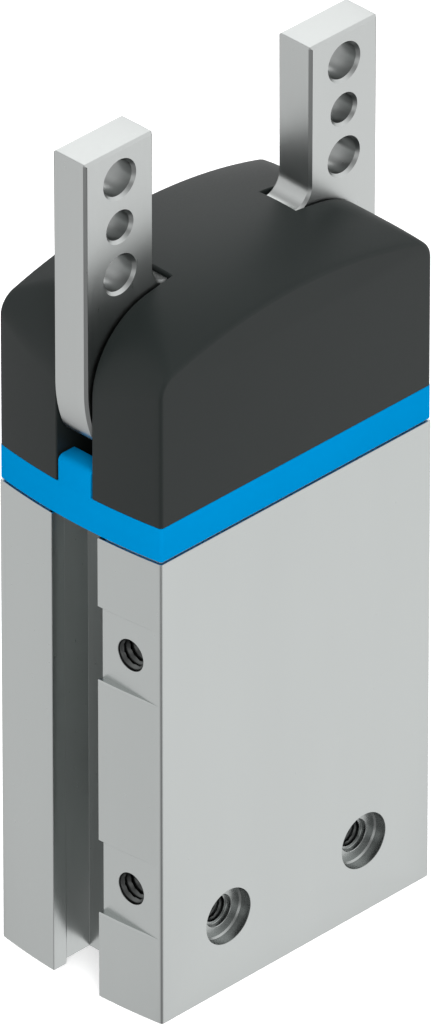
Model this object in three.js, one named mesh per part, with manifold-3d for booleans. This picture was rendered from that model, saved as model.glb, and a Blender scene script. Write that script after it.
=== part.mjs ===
// Pneumatic angle gripper: two levers swing outward on fixed pins when a piston rises in the
// housing. The origin is the centre of the housing's bottom face, +X runs along the front face
// from the ported side, +Y points to the back and +Z points to the jaw tips. Millimetres.

import * as THREE from 'three';
import { mergeVertices } from 'three/addons/utils/BufferGeometryUtils.js';
import Module from 'manifold-3d';

const wasm = await Module();
wasm.setup();

// ---------------------------------------------------------------- driving dimensions

const FINE = 24; // sides of large round pieces
const COARSE = 16; // sides of small round pieces
const GAP = 0.15; // running clearance

const WIDTH = 54.3; // housing, across its corners
const DEPTH = 32.3;
const HEIGHT = 77.5;
const BULGE = 1.25; // how far each side face bows out past the corners

const SLOT_MOUTH = 9.1; // sensor slot, down the middle of each side face
const SLOT_CHANNEL = 11;
const SLOT_LIP_X = 25.7; // inner edge of the lips, which slant from here to the channel
const SLOT_SLANT = 1;
const SLOT_BACK_X = 20.1;
const SLOT_CORNER = 0.8;

const PORT_Z = [20.4, 59.8]; // air ports, on the -X side
const PORT_Y = -10.1;
const PORT_DIAMETER = 5;
const PORT_BORE = 3.4;
const PORT_DEPTH = 9;
const PORT_PAD_X = 27.15;
const PORT_PAD_HEIGHT = 12.2;

const MOUNT_X = 13.7; // mounting holes, front and back
const MOUNT_Z = 12.2;
const MOUNT_SLEEVE_DIAMETER = 9;
const MOUNT_SLEEVE_DEPTH = 2.1;
const MOUNT_LEAD_DIAMETER = 5.1; // plain start of the screw hole
const MOUNT_LEAD_DEPTH = 2.9;
const MOUNT_THREAD_DIAMETER = 4.2;
const MOUNT_THREAD_DEPTH = 9;
const FOOT_HOLE = { x: 20.6, y: 11.2, diameter: 3.3, depth: 8 };

const BORE = 25; // cylinder
const BORE_TOP = 62.5;
const CAP_SEAT = 3.2;
const CAP_TOP = 14;
const RING_GROOVE = { z: 1.6, thickness: 1.4, diameter: 27 };

const ROD_DIAMETER = 10;
const GUIDE_DIAMETER = 14;
const GUIDE_SEAT = 64;
const POCKET_FLOOR = 70.9;
const POCKET = { x: 13.8, y: 6.9 }; // half sizes of the well that the crosshead moves in

const TRIM_TOP = 83.3; // blue trim frame on top of the housing
const TRIM_INSET = 0.1;
const TRIM_OPENING = { x: 20.35, y: 13.1 };
const RIB_TOP = 87.7;

const BLOCK = { x: 20.2, y: 12.9, top: 108.3, cheekX: 12.9, cheekY: 9.4, chamberTop: 96.4 };
const BLOCK_SCREW = { x: 16.9, y: 9, diameter: 4, head: 7, headHeight: 4, length: 13.5 };

const COVER_BASE = 83.4;
const COVER_EDGE_TOP = 111.2; // middle of the front edge
const COVER_CROWN = 2.9; // extra height halfway between front and back
const COVER_ARC = 100; // radius of the long top arc
const COVER_CORNER = { edge: 3, crown: 10.4 }; // shoulder radius at the edge, and what it gains
const COVER_PEG = { x: 24, y: 10.4, diameter: 2.6, length: 3.2 };

const JAW_SLOT = 7.05; // width of the slots that the levers swing in
const JAW_SLOT_END = 12.3;
const JAW_THICKNESS = 6.5;
const JAW_TOP = 138.1;
const JAW_INNER_X = 15.5;
const JAW_CHAMFER = 0.4;
const JAW_FILLET = 3;
const JAW_FILLET_Z = 115.6; // where the inner face runs into its foot
const JAW_FOOT = 3.5; // straight drop from the foot into the cover
const JAW_HOLE_X = 22.2;
const JAW_HOLES = [
  { z: 133.1, diameter: 5.6 },
  { z: 125.35, diameter: 4.5 },
  { z: 117.6, diameter: 5.6 },
];

const PIVOT = { x: 7.2, z: 100.8 };
const PIVOT_PIN = 5;
const BUSH_DIAMETER = 7.4;
const BOSS_RADIUS = 6.7;
const HEEL_RADIUS = 21.75;
const HEEL_SPAN = THREE.MathUtils.degToRad(20);
const HEEL_CORNER = 4;
const LOBE_RADIUS = 3.8;

const STROKE = 6; // piston travel from closed to open
const SWING = THREE.MathUtils.degToRad(20); // opening of each jaw
const DRIVER = { x: 2.6, drop: 14, diameter: 4 }; // driver pin, measured from the pivot, closed

// ---------------------------------------------------------------- materials

function finish(color, roughness, metalness) {
  return new THREE.MeshStandardMaterial({ color, roughness, metalness });
}

const ANODISED = finish(0xc6c9c6, 0.45, 0.6);
const STEEL = finish(0xb9bbbb, 0.25, 1);
const DARK_STEEL = finish(0x6d6f70, 0.4, 0.9);
const BRONZE = finish(0xa9814a, 0.4, 0.9);
const BLUE = finish(0x0a8ad4, 0.4, 0);
const BLACK = finish(0x3b3e3c, 0.5, 0);
const RUBBER = finish(0x1d1d1d, 0.8, 0);
const MAGNET = finish(0x57534e, 0.6, 0.3);
const PTFE = finish(0x7a4a35, 0.6, 0);

// ---------------------------------------------------------------- solids

function toSolid(geometry) {
  const bare = geometry.clone();
  bare.deleteAttribute('normal');
  bare.deleteAttribute('uv');
  const merged = mergeVertices(bare, 1e-4);
  return new wasm.Manifold(new wasm.Mesh({
    numProp: 3,
    vertProperties: new Float32Array(merged.attributes.position.array),
    triVerts: new Uint32Array(merged.index.array),
  }));
}

function toGeometry(solid) {
  const mesh = solid.getMesh();
  const geometry = new THREE.BufferGeometry();
  geometry.setAttribute('position', new THREE.BufferAttribute(mesh.vertProperties, 3));
  geometry.setIndex(new THREE.BufferAttribute(mesh.triVerts, 1));
  geometry.computeVertexNormals();
  return geometry;
}

// Cuts every tool away from the body, then joins the additions.
function shaped(body, tools, additions = []) {
  let solid = toSolid(body);
  for (const tool of tools) solid = solid.subtract(toSolid(tool));
  for (const addition of additions) solid = solid.add(toSolid(addition));
  return toGeometry(solid);
}

function between(a, b) {
  return [Math.min(a, b), Math.max(a, b)];
}

function box([x0, x1], [y0, y1], [z0, z1]) {
  const geometry = new THREE.BoxGeometry(x1 - x0, y1 - y0, z1 - z0);
  return geometry.translate((x0 + x1) / 2, (y0 + y1) / 2, (z0 + z1) / 2);
}

function rod(diameter, z0, z1, x = 0, y = 0, sides = COARSE) {
  const geometry = new THREE.CylinderGeometry(diameter / 2, diameter / 2, z1 - z0, sides);
  return geometry.rotateX(Math.PI / 2).translate(x, y, (z0 + z1) / 2);
}

function rodAlongY(diameter, x, z, y0, y1, sides = COARSE) {
  const geometry = new THREE.CylinderGeometry(diameter / 2, diameter / 2, y1 - y0, sides);
  return geometry.translate(x, (y0 + y1) / 2, z);
}

function rodAlongX(diameter, y, z, x0, x1, sides = COARSE) {
  const geometry = new THREE.CylinderGeometry(diameter / 2, diameter / 2, x1 - x0, sides);
  return geometry.rotateZ(Math.PI / 2).translate((x0 + x1) / 2, y, z);
}

// Turns a profile of [radius, z] points, listed upward along the outside, about the Z axis.
function turned(profile, sides = FINE) {
  const points = profile.map(([radius, z]) => new THREE.Vector2(radius, z));
  return new THREE.LatheGeometry(points, sides).rotateX(Math.PI / 2);
}

function sleeve(inner, outer, z0, z1, sides = FINE) {
  const r = inner / 2;
  const R = outer / 2;
  return turned([[r, z0], [R, z0], [R, z1], [r, z1], [r, z0]], sides);
}

function ring(middle, section, z, sides = FINE) {
  const corners = 8;
  const profile = [];
  for (let i = 0; i <= corners; i += 1) {
    const angle = (2 * Math.PI * i) / corners - Math.PI / 2;
    profile.push([middle / 2 + (section / 2) * Math.cos(angle), z + (section / 2) * Math.sin(angle)]);
  }
  return turned(profile, sides);
}

function prism(shape, z0, z1) {
  const options = { depth: z1 - z0, bevelEnabled: false, curveSegments: 10 };
  return new THREE.ExtrudeGeometry(shape, options).translate(0, 0, z0);
}

function socketScrew({ diameter, head, headHeight, length }) {
  const r = diameter / 2;
  const R = head / 2;
  const body = turned(
    [[0, -length], [r - 0.3, -length], [r, 0.3 - length], [r, 0], [R, 0], [R, headHeight - 0.3],
      [R - 0.3, headHeight], [0, headHeight]],
    COARSE,
  );
  const socket = rod(head * 0.5, headHeight * 0.45, headHeight + 1, 0, 0, 6);
  return shaped(body, [socket]);
}

// ---------------------------------------------------------------- shared outlines

function bowedOutline(inset) {
  const halfDepth = DEPTH / 2 - inset;
  const halfWidth = WIDTH / 2 - inset;
  const radius = (halfDepth ** 2 + BULGE ** 2) / (2 * BULGE);
  const middle = halfWidth + BULGE - radius;
  const half = Math.asin(halfDepth / radius);
  const outline = new THREE.Shape();
  outline.moveTo(-halfWidth, -halfDepth);
  outline.absarc(middle, 0, radius, -half, half, false);
  outline.absarc(-middle, 0, radius, Math.PI - half, Math.PI + half, false);
  return outline;
}

function roundedRectangle(halfX, halfY, radius, x = 0, y = 0) {
  const outline = new THREE.Shape();
  outline.moveTo(x - halfX, y - halfY + radius);
  outline.absarc(x - halfX + radius, y - halfY + radius, radius, Math.PI, 1.5 * Math.PI, false);
  outline.absarc(x + halfX - radius, y - halfY + radius, radius, -Math.PI / 2, 0, false);
  outline.absarc(x + halfX - radius, y + halfY - radius, radius, 0, Math.PI / 2, false);
  outline.absarc(x - halfX + radius, y + halfY - radius, radius, Math.PI / 2, Math.PI, false);
  return outline;
}

// ---------------------------------------------------------------- housing

function sensorSlot(side) {
  const mouth = SLOT_MOUTH / 2;
  const channel = SLOT_CHANNEL / 2;
  const corner = SLOT_BACK_X + SLOT_CORNER;
  const slantEnd = SLOT_LIP_X - SLOT_SLANT;
  const outline = new THREE.Shape();
  outline.moveTo(WIDTH, -mouth);
  outline.lineTo(WIDTH, mouth);
  outline.lineTo(SLOT_LIP_X, mouth);
  outline.lineTo(slantEnd, channel);
  outline.absarc(corner, channel - SLOT_CORNER, SLOT_CORNER, Math.PI / 2, Math.PI, false);
  outline.absarc(corner, SLOT_CORNER - channel, SLOT_CORNER, Math.PI, 1.5 * Math.PI, false);
  outline.lineTo(slantEnd, -channel);
  outline.lineTo(SLOT_LIP_X, -mouth);
  const tool = prism(outline, -1, HEIGHT + 1);
  return side > 0 ? tool : tool.rotateZ(Math.PI);
}

function portTools(z) {
  const inlet = -PORT_PAD_X + PORT_DEPTH;
  return [
    box(
      [-WIDTH, -PORT_PAD_X],
      [-DEPTH, -SLOT_MOUTH / 2 + 1],
      [z - PORT_PAD_HEIGHT / 2, z + PORT_PAD_HEIGHT / 2],
    ),
    rodAlongX(PORT_DIAMETER, PORT_Y, z, -WIDTH, inlet),
    rodAlongX(PORT_BORE, PORT_Y, z, inlet - 1, -BORE / 4),
  ];
}

function mountTools(x, face) {
  const outside = face * (DEPTH / 2 + 1);
  const hole = (diameter, depth, sides) => {
    const [y0, y1] = between(face * (DEPTH / 2 - depth), outside);
    return rodAlongY(diameter, x, MOUNT_Z, y0, y1, sides);
  };
  return [
    hole(MOUNT_SLEEVE_DIAMETER, MOUNT_SLEEVE_DEPTH, FINE),
    hole(MOUNT_LEAD_DIAMETER, MOUNT_LEAD_DEPTH, COARSE),
    hole(MOUNT_THREAD_DIAMETER, MOUNT_THREAD_DEPTH, COARSE),
  ];
}

function housing() {
  const tools = [
    rod(BORE, -1, BORE_TOP, 0, 0, FINE),
    rod(RING_GROOVE.diameter, RING_GROOVE.z, RING_GROOVE.z + RING_GROOVE.thickness, 0, 0, FINE),
    rod(ROD_DIAMETER + 0.8, BORE_TOP - 1, GUIDE_SEAT + 1, 0, 0, FINE),
    rod(GUIDE_DIAMETER + 2 * GAP, GUIDE_SEAT, POCKET_FLOOR + 1, 0, 0, FINE),
    prism(roundedRectangle(POCKET.x, POCKET.y, 2), POCKET_FLOOR, HEIGHT + 1),
  ];
  for (const side of [-1, 1]) {
    tools.push(sensorSlot(side));
    for (const face of [-1, 1]) {
      const foot = { x: side * FOOT_HOLE.x, y: face * FOOT_HOLE.y };
      const screw = { x: side * BLOCK_SCREW.x, y: face * BLOCK_SCREW.y };
      const tapBottom = TRIM_TOP - BLOCK_SCREW.length - 1;
      tools.push(...mountTools(side * MOUNT_X, face));
      tools.push(rod(FOOT_HOLE.diameter, -1, FOOT_HOLE.depth, foot.x, foot.y));
      tools.push(rod(BLOCK_SCREW.diameter + 2 * GAP, tapBottom, HEIGHT + 1, screw.x, screw.y));
    }
  }
  for (const z of PORT_Z) tools.push(...portTools(z));
  return shaped(prism(bowedOutline(0), 0, HEIGHT), tools);
}

// ---------------------------------------------------------------- cylinder closing pieces

const CAP_SEAL_Z = 9;
const CAP_SEAL_SECTION = 1.8;

function endCap() {
  const R = BORE / 2 - GAP;
  const groove = BORE / 2 - CAP_SEAL_SECTION - 0.2;
  const below = CAP_SEAL_Z - CAP_SEAL_SECTION / 2 - GAP;
  const above = CAP_SEAL_Z + CAP_SEAL_SECTION / 2 + GAP;
  return turned([
    [0, CAP_SEAT], [R - 0.5, CAP_SEAT], [R, CAP_SEAT + 0.5],
    [R, below], [groove, below], [groove, above], [R, above],
    [R, CAP_TOP - 0.5], [R - 0.5, CAP_TOP], [0, CAP_TOP],
  ]);
}

function retainingRing() {
  const outer = RING_GROOVE.diameter / 2 - GAP;
  const inner = BORE / 2 - 1.6;
  const opening = 0.28;
  const lugs = { radius: 2, centre: inner - 0.5, hole: 0.8, angle: opening + 0.12 };
  const outline = new THREE.Shape();
  outline.absarc(0, 0, outer, opening, 2 * Math.PI - opening, false);
  outline.absarc(0, 0, inner, 2 * Math.PI - opening, opening, true);
  const pieces = [prism(outline, 0, RING_GROOVE.thickness - 0.2)];
  const holes = [];
  for (const side of [-1, 1]) {
    const x = lugs.centre * Math.cos(side * lugs.angle);
    const y = lugs.centre * Math.sin(side * lugs.angle);
    pieces.push(rod(2 * lugs.radius, 0, RING_GROOVE.thickness - 0.2, x, y));
    holes.push(rod(2 * lugs.hole, -1, RING_GROOVE.thickness + 1, x, y, 12));
  }
  const [body, ...lugPieces] = pieces;
  const joined = shaped(body, [], lugPieces);
  return shaped(joined, holes).translate(0, 0, RING_GROOVE.z + 0.1);
}

const ROD_SEAL_TOP = 67.4;

function rodSeal() {
  const outer = GUIDE_DIAMETER / 2 - 0.1;
  const inner = ROD_DIAMETER / 2 + GAP;
  const z0 = GUIDE_SEAT + 0.1;
  return turned([
    [inner, z0], [inner + 0.5, z0], [(inner + outer) / 2, z0 + 1.2], [outer - 0.5, z0], [outer, z0],
    [outer, ROD_SEAL_TOP], [inner, ROD_SEAL_TOP], [inner, z0],
  ]);
}

function rodGuide() {
  return sleeve(ROD_DIAMETER + 2 * GAP, GUIDE_DIAMETER, ROD_SEAL_TOP + 0.1, POCKET_FLOOR - 0.1);
}

// ---------------------------------------------------------------- trim frame

function trimFrame() {
  const plate = prism(bowedOutline(TRIM_INSET), HEIGHT, TRIM_TOP);
  const opening = prism(roundedRectangle(TRIM_OPENING.x, TRIM_OPENING.y, 1), HEIGHT - 1, RIB_TOP + 1);
  const ribHalf = JAW_SLOT / 2 - 0.3;
  const heelClearance = 0.35;
  const heelSides = 96;
  const ribTools = [
    box([-WIDTH, WIDTH], [ribHalf, DEPTH], [HEIGHT, RIB_TOP + 1]),
    box([-WIDTH, WIDTH], [-DEPTH, -ribHalf], [HEIGHT, RIB_TOP + 1]),
  ];
  const pegHoles = [];
  const pegHoleBottom = COVER_BASE - COVER_PEG.length - 0.4;
  for (const side of [-1, 1]) {
    const diameter = 2 * (HEEL_RADIUS + heelClearance);
    ribTools.push(rodAlongY(diameter, side * PIVOT.x, PIVOT.z, -DEPTH, DEPTH, heelSides));
    for (const face of [-1, 1]) {
      const peg = { x: side * COVER_PEG.x, y: face * COVER_PEG.y };
      pegHoles.push(rod(COVER_PEG.diameter + 2 * GAP, pegHoleBottom, RIB_TOP, peg.x, peg.y));
    }
  }
  const ribs = shaped(prism(bowedOutline(TRIM_INSET), TRIM_TOP - 0.5, RIB_TOP), ribTools);
  return shaped(shaped(plate, [], [ribs]), [opening, ...pegHoles]);
}

// ---------------------------------------------------------------- bearing block

function bearingBlock() {
  const { cheekX, cheekY } = BLOCK;
  const foot = prism(roundedRectangle(BLOCK.x, BLOCK.y, 1), HEIGHT, TRIM_TOP);
  const cheeks = box([-cheekX, cheekX], [-cheekY, cheekY], [TRIM_TOP - 1, BLOCK.top]);
  const tools = [
    box([-WIDTH, WIDTH], [-JAW_SLOT / 2, JAW_SLOT / 2], [TRIM_TOP, BLOCK.top + 1]),
    box([-POCKET.x, POCKET.x], [-POCKET.y, POCKET.y], [HEIGHT - 1, BLOCK.chamberTop]),
  ];
  for (const side of [-1, 1]) {
    tools.push(rodAlongY(PIVOT_PIN + GAP, side * PIVOT.x, PIVOT.z, -DEPTH, DEPTH));
    for (const face of [-1, 1]) {
      const hole = BLOCK_SCREW.diameter + 2 * GAP;
      tools.push(rod(hole, HEIGHT - 1, TRIM_TOP + 1, side * BLOCK_SCREW.x, face * BLOCK_SCREW.y));
    }
  }
  return shaped(shaped(foot, [], [cheeks]), tools);
}

// ---------------------------------------------------------------- cover

// Half outline of the cover in the plane y: up the side, round the shoulder, along the top arc.
function coverProfile(y) {
  const span = y / (DEPTH / 2 - TRIM_INSET);
  const swell = 1 - span * span;
  const side = WIDTH / 2 - TRIM_INSET + BULGE * swell;
  const corner = COVER_CORNER.edge + COVER_CORNER.crown * swell;
  const top = COVER_EDGE_TOP + COVER_CROWN * swell;
  const cornerX = side - corner;
  const cornerZ = top - COVER_ARC + Math.sqrt((COVER_ARC - corner) ** 2 - cornerX ** 2);
  const lean = Math.asin(cornerX / (COVER_ARC - corner));
  const points = [[side, COVER_BASE]];
  const steps = 6;
  for (let i = 0; i <= steps; i += 1) {
    const angle = THREE.MathUtils.lerp(0, Math.PI / 2 - lean, i / steps);
    points.push([cornerX + corner * Math.cos(angle), cornerZ + corner * Math.sin(angle)]);
  }
  for (let i = 1; i <= steps; i += 1) {
    const angle = lean * (1 - i / steps);
    points.push([COVER_ARC * Math.sin(angle), top - COVER_ARC + COVER_ARC * Math.cos(angle)]);
  }
  return points;
}

function coverBody() {
  const stations = 12;
  const positions = [];
  const indices = [];
  let count = 0;
  for (let i = 0; i <= stations; i += 1) {
    const y = THREE.MathUtils.lerp(TRIM_INSET - DEPTH / 2, DEPTH / 2 - TRIM_INSET, i / stations);
    const right = coverProfile(y);
    const left = right.slice(0, -1).map(([x, z]) => [-x, z]).reverse();
    const whole = right.concat(left);
    count = whole.length;
    for (const [x, z] of whole) positions.push(x, y, z);
  }
  for (let i = 0; i < stations; i += 1) {
    for (let j = 0; j < count; j += 1) {
      const a = i * count + j;
      const b = i * count + ((j + 1) % count);
      indices.push(a, a + count, b, b, a + count, b + count);
    }
  }
  const last = stations * count;
  for (let j = 1; j < count - 1; j += 1) {
    indices.push(0, j, j + 1);
    indices.push(last, last + j + 1, last + j);
  }
  const geometry = new THREE.BufferGeometry();
  geometry.setAttribute('position', new THREE.Float32BufferAttribute(positions, 3));
  geometry.setIndex(indices);
  return geometry;
}

function cover() {
  const chamber = { x: 13.3, y: 13.2, top: 109.3 };
  const pocket = { x: 21.4, y: 5.3, top: 105 };
  const half = JAW_SLOT / 2;
  const tools = [box([-chamber.x, chamber.x], [-chamber.y, chamber.y], [COVER_BASE - 1, chamber.top])];
  const pegs = [];
  const pegFoot = COVER_BASE - COVER_PEG.length;
  for (const side of [-1, 1]) {
    tools.push(box(between(side * JAW_SLOT_END, side * WIDTH), [-half, half], [COVER_BASE - 1, JAW_TOP]));
    for (const face of [-1, 1]) {
      const across = between(side * (chamber.x - 1), side * pocket.x);
      const reach = between(face * pocket.y, face * chamber.y);
      const peg = { x: side * COVER_PEG.x, y: face * COVER_PEG.y };
      tools.push(box(across, reach, [COVER_BASE - 1, pocket.top]));
      pegs.push(rod(COVER_PEG.diameter, pegFoot, COVER_BASE + 1, peg.x, peg.y));
    }
  }
  return shaped(coverBody(), tools, pegs);
}

// ---------------------------------------------------------------- piston

const PISTON = { bottom: 14.2, disc: 23, discTop: 45, top: 56.2, boss: 14, spigot: 7 };
const PISTON_GROOVES = {
  lowerSeal: { z: 27, height: 3.4, diameter: 18.6 },
  magnet: { z: 33, height: 4.4, diameter: 17.6 },
  wearRing: { z: 37.6, height: 3.4, diameter: 22 },
  upperSeal: { z: 42, height: 3.4, diameter: 18.6 },
};
const ROD_SHOULDER = PISTON.top + 0.1;
const CROSSHEAD_BASE = 71.2;
const STUD = { radius: 3, length: 4 }; // threaded end of the rod, screwed into the crosshead

function piston() {
  const R = BORE / 2 - 0.35;
  const boss = PISTON.boss / 2;
  const hole = PISTON.spigot / 2 + GAP;
  const screwWell = 4.6;
  const screwSeat = 18.6;
  const profile = [
    [hole, screwSeat], [screwWell, screwSeat], [screwWell, PISTON.bottom], [boss, PISTON.bottom],
    [boss, PISTON.disc], [R, PISTON.disc],
  ];
  for (const { z, height, diameter } of Object.values(PISTON_GROOVES)) {
    profile.push([R, z - height / 2], [diameter / 2, z - height / 2]);
    profile.push([diameter / 2, z + height / 2], [R, z + height / 2]);
  }
  profile.push([R, PISTON.discTop], [boss, PISTON.discTop], [boss, PISTON.top], [hole, PISTON.top]);
  profile.push([hole, screwSeat]);
  return turned(profile);
}

function grooveRing({ z, height, diameter }) {
  const half = height / 2 - GAP;
  return sleeve(diameter + 2 * GAP, BORE - 3 * GAP, z - half, z + half);
}

function pistonSeal({ z, height, diameter }) {
  const inner = diameter / 2 + GAP;
  const outer = BORE / 2 - GAP;
  const half = height / 2 - GAP;
  return turned([
    [inner, z - half], [outer - 0.5, z - half], [outer, z - half + 0.5], [outer, z - 0.5],
    [outer - 0.6, z], [outer, z + 0.5], [outer, z + half - 0.5], [outer - 0.5, z + half],
    [inner, z + half], [inner, z - half],
  ]);
}

function pistonRod() {
  const R = ROD_DIAMETER / 2;
  const spigot = PISTON.spigot / 2;
  const studTop = CROSSHEAD_BASE + STUD.length;
  const tap = 2.15;
  return turned([
    [tap, 19.2], [spigot, 19.2], [spigot, ROD_SHOULDER], [R, ROD_SHOULDER], [R, CROSSHEAD_BASE - 0.6],
    [R - 0.5, CROSSHEAD_BASE - 0.1], [STUD.radius, CROSSHEAD_BASE - 0.1], [STUD.radius, studTop],
    [0, studTop], [0, 30], [tap, 30], [tap, 19.2],
  ]);
}

const DRIVER_PIN = {
  x: PIVOT.x + DRIVER.x,
  z: PIVOT.z - DRIVER.drop,
  halfLength: 6.4,
};

function crosshead() {
  const halfX = 12.8;
  const halfY = 6.5;
  const floor = 76.5;
  const top = DRIVER_PIN.z + 3.1;
  const studHoleTop = CROSSHEAD_BASE + STUD.length + 0.3;
  const body = prism(roundedRectangle(halfX, halfY, 1.6), CROSSHEAD_BASE, top);
  const tools = [
    box([-WIDTH, WIDTH], [-JAW_SLOT / 2, JAW_SLOT / 2], [floor, top + 1]),
    rod(2 * (STUD.radius + GAP), CROSSHEAD_BASE - 1, studHoleTop),
  ];
  for (const side of [-1, 1]) {
    tools.push(rodAlongY(DRIVER.diameter + GAP, side * DRIVER_PIN.x, DRIVER_PIN.z, -DEPTH, DEPTH));
  }
  return shaped(body, tools);
}

// ---------------------------------------------------------------- jaw levers

// Where the driver pin lies in the lever's own frame when the piston has made this share of
// its stroke, so the slot turns the lever by the same angle for every millimetre of travel.
function driverInLever(share) {
  const angle = -SWING * share;
  const x = DRIVER.x;
  const z = STROKE * share - DRIVER.drop;
  return new THREE.Vector2(
    PIVOT.x + x * Math.cos(angle) + z * Math.sin(angle),
    PIVOT.z - x * Math.sin(angle) + z * Math.cos(angle),
  );
}

function camSlot(radius) {
  const overrun = 0.06;
  const steps = 6;
  const ends = 6;
  const route = [];
  for (let i = 0; i <= steps; i += 1) {
    route.push(driverInLever(THREE.MathUtils.lerp(-overrun, 1 + overrun, i / steps)));
  }
  const direction = (i) => {
    const from = route[Math.max(i - 1, 0)];
    const to = route[Math.min(i + 1, steps)];
    return Math.atan2(to.y - from.y, to.x - from.x);
  };
  const at = (centre, angle) => new THREE.Vector2(
    centre.x + radius * Math.cos(angle),
    centre.y + radius * Math.sin(angle),
  );
  const points = [];
  for (let i = 0; i < steps; i += 1) points.push(at(route[i], direction(i) - Math.PI / 2));
  for (let i = 0; i <= ends; i += 1) {
    points.push(at(route[steps], direction(steps) - Math.PI / 2 + (Math.PI * i) / ends));
  }
  for (let i = steps - 1; i > 0; i -= 1) points.push(at(route[i], direction(i) + Math.PI / 2));
  for (let i = 0; i < ends; i += 1) {
    points.push(at(route[0], direction(0) + Math.PI / 2 + (Math.PI * i) / ends));
  }
  return new THREE.Path(points);
}

// Angle of the outward normal of the straight edge that touches two circles on their left.
function leftTangentNormal(c1, r1, c2, r2) {
  const along = Math.atan2(c2.y - c1.y, c2.x - c1.x);
  return along - Math.acos((r1 - r2) / c1.distanceTo(c2));
}

function leverOutline() {
  const pivot = new THREE.Vector2(PIVOT.x, PIVOT.z);
  const lobe = driverInLever(0);
  const heelX = PIVOT.x + HEEL_RADIUS;
  const heelCorner = new THREE.Vector2(
    PIVOT.x + (HEEL_RADIUS - HEEL_CORNER) * Math.cos(HEEL_SPAN),
    PIVOT.z - (HEEL_RADIUS - HEEL_CORNER) * Math.sin(HEEL_SPAN),
  );
  const waist = leftTangentNormal(pivot, BOSS_RADIUS, lobe, LOBE_RADIUS) + 2 * Math.PI;
  const underside = leftTangentNormal(lobe, LOBE_RADIUS, heelCorner, HEEL_CORNER);
  const ledge = JAW_INNER_X - JAW_FILLET;
  const shape = new THREE.Shape();
  shape.moveTo(heelX, JAW_TOP);
  shape.lineTo(JAW_INNER_X, JAW_TOP);
  shape.lineTo(JAW_INNER_X, JAW_FILLET_Z);
  shape.absarc(ledge, JAW_FILLET_Z, JAW_FILLET, 0, -Math.PI / 2, true);
  shape.lineTo(ledge, JAW_FILLET_Z - JAW_FILLET - JAW_FOOT);
  shape.absarc(pivot.x, pivot.y, BOSS_RADIUS, THREE.MathUtils.degToRad(65), waist, false);
  shape.absarc(lobe.x, lobe.y, LOBE_RADIUS, waist, underside + 2 * Math.PI, false);
  shape.absarc(heelCorner.x, heelCorner.y, HEEL_CORNER, underside, -HEEL_SPAN, false);
  shape.absarc(pivot.x, pivot.y, HEEL_RADIUS, -HEEL_SPAN, 0, false);
  return shape;
}

// The outline's points on one side of the gripper, without those that repeat the one before.
// Mirrored points run backward, so that the outline still turns the same way.
function pointsOnSide(side, points) {
  const distinct = points.filter((point, i) => {
    const previous = points[(i + points.length - 1) % points.length];
    return point.distanceTo(previous) > 1e-3;
  });
  const placed = distinct.map(({ x, y }) => new THREE.Vector2(side * x, y));
  return side < 0 ? placed.reverse() : placed;
}

function lever(side) {
  const shape = new THREE.Shape(pointsOnSide(side, leverOutline().getPoints(6)));
  const holes = [camSlot(DRIVER.diameter / 2 + GAP)];
  const bush = new THREE.Path();
  bush.absarc(PIVOT.x, PIVOT.z, BUSH_DIAMETER / 2 + 0.1, 0, 2 * Math.PI, false);
  holes.push(bush);
  for (const { z, diameter } of JAW_HOLES) {
    const hole = new THREE.Path();
    hole.absarc(JAW_HOLE_X, z, diameter / 2, 0, 2 * Math.PI, false);
    holes.push(hole);
  }
  shape.holes = holes.map((hole) => new THREE.Path(pointsOnSide(side, hole.getPoints(COARSE / 2))));
  const geometry = new THREE.ExtrudeGeometry(shape, {
    depth: JAW_THICKNESS - 2 * JAW_CHAMFER,
    bevelThickness: JAW_CHAMFER,
    bevelSize: JAW_CHAMFER,
    bevelOffset: -JAW_CHAMFER,
    bevelSegments: 1,
  });
  return geometry.rotateX(Math.PI / 2).translate(0, JAW_THICKNESS / 2 - JAW_CHAMFER, 0);
}

function pivotBush(side) {
  const half = JAW_THICKNESS / 2 - 0.1;
  const bush = sleeve(PIVOT_PIN + 2 * GAP, BUSH_DIAMETER, -half, half, COARSE);
  return bush.rotateX(Math.PI / 2).translate(side * PIVOT.x, 0, PIVOT.z);
}

// ---------------------------------------------------------------- assembly

const gripper = new THREE.Group();

function add(name, geometry, material, parent = gripper) {
  const mesh = new THREE.Mesh(geometry, material);
  mesh.name = name;
  parent.add(mesh);
  return mesh;
}

const SIDES = [['left', -1], ['right', 1]];
const FACES = [['front', -1], ['rear', 1]];

const fixed = new THREE.Group();
gripper.add(fixed);
add('housing', housing(), ANODISED, fixed);
add('end_cap', endCap(), ANODISED, fixed);
const capSealDiameter = BORE - CAP_SEAL_SECTION - 0.3;
add('end_cap_o_ring', ring(capSealDiameter, CAP_SEAL_SECTION, CAP_SEAL_Z), RUBBER, fixed);
add('retaining_ring', retainingRing(), DARK_STEEL, fixed);
add('rod_seal', rodSeal(), RUBBER, fixed);
add('rod_guide_bush', rodGuide(), BRONZE, fixed);
add('trim_frame', trimFrame(), BLUE, fixed);
add('bearing_block', bearingBlock(), ANODISED, fixed);
add('cover', cover(), BLACK, fixed);
for (const [face, faceSign] of FACES) {
  for (const [side, sideSign] of SIDES) {
    const screw = add(`block_screw_${face}_${side}`, socketScrew(BLOCK_SCREW), DARK_STEEL, fixed);
    screw.position.set(sideSign * BLOCK_SCREW.x, faceSign * BLOCK_SCREW.y, TRIM_TOP);
  }
}
for (const [side, sign] of SIDES) {
  const halfLength = BLOCK.cheekY - 0.2;
  const pin = rodAlongY(PIVOT_PIN - 0.1, sign * PIVOT.x, PIVOT.z, -halfLength, halfLength);
  add(`${side}_pivot_pin`, pin, STEEL, fixed);
}

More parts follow.
